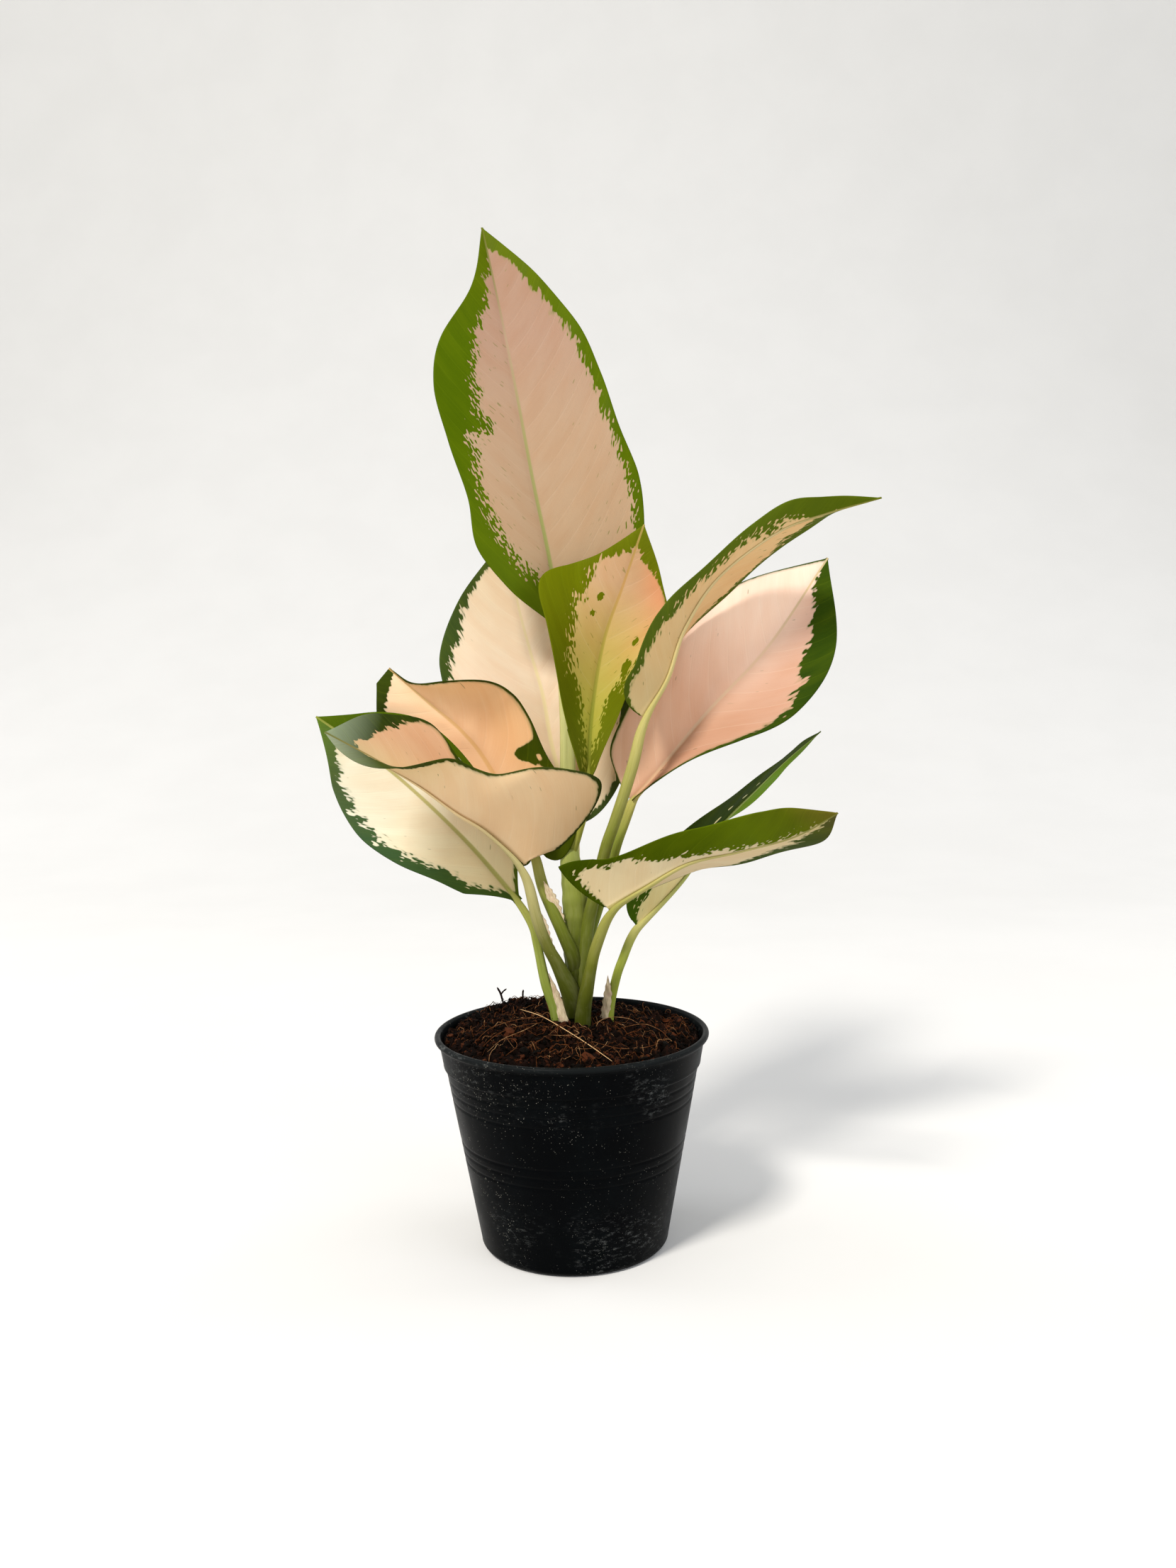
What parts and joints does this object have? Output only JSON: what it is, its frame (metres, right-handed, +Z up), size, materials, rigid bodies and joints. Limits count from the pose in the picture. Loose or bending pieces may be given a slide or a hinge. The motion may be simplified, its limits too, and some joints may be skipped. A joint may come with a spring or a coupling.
{
  "type": "potted chinese evergreen",
  "caption": "Chinese evergreen with broad peach and cream leaves edged in green on clasping stalks, growing in a round black nursery pot of coir.",
  "frame": {"origin": "centre of the pot's flat underside, on the surface that it stands on", "axes": "+Z up along the pot's axis; -Y towards the viewer, the side that the leaves face; +X to the viewer's right"},
  "size_m": [0.2107, 0.108, 0.4092],
  "materials": {
    "pot": "semi-matte black polypropylene with dust and faint scuffs",
    "soil": "rough dark red-brown coir and coconut husk chips",
    "stem": "smooth yellow-green living stem, paler where sheathed",
    "leaf": "satin peach to cream blade with a serrated green margin"
  },
  "bodies": {
    "root": {"pot": "pot", "soil": "soil", "cane": "stem", "leaf_crown": "leaf", "leaf_center": "leaf", "leaf_back": "leaf", "leaf_right_arching": "leaf", "leaf_right_broad": "leaf", "leaf_left_upper": "leaf", "leaf_left_front": "leaf", "leaf_left_lower": "leaf", "leaf_right_front": "leaf", "leaf_right_low": "leaf"}
  },
  "joints": []
}
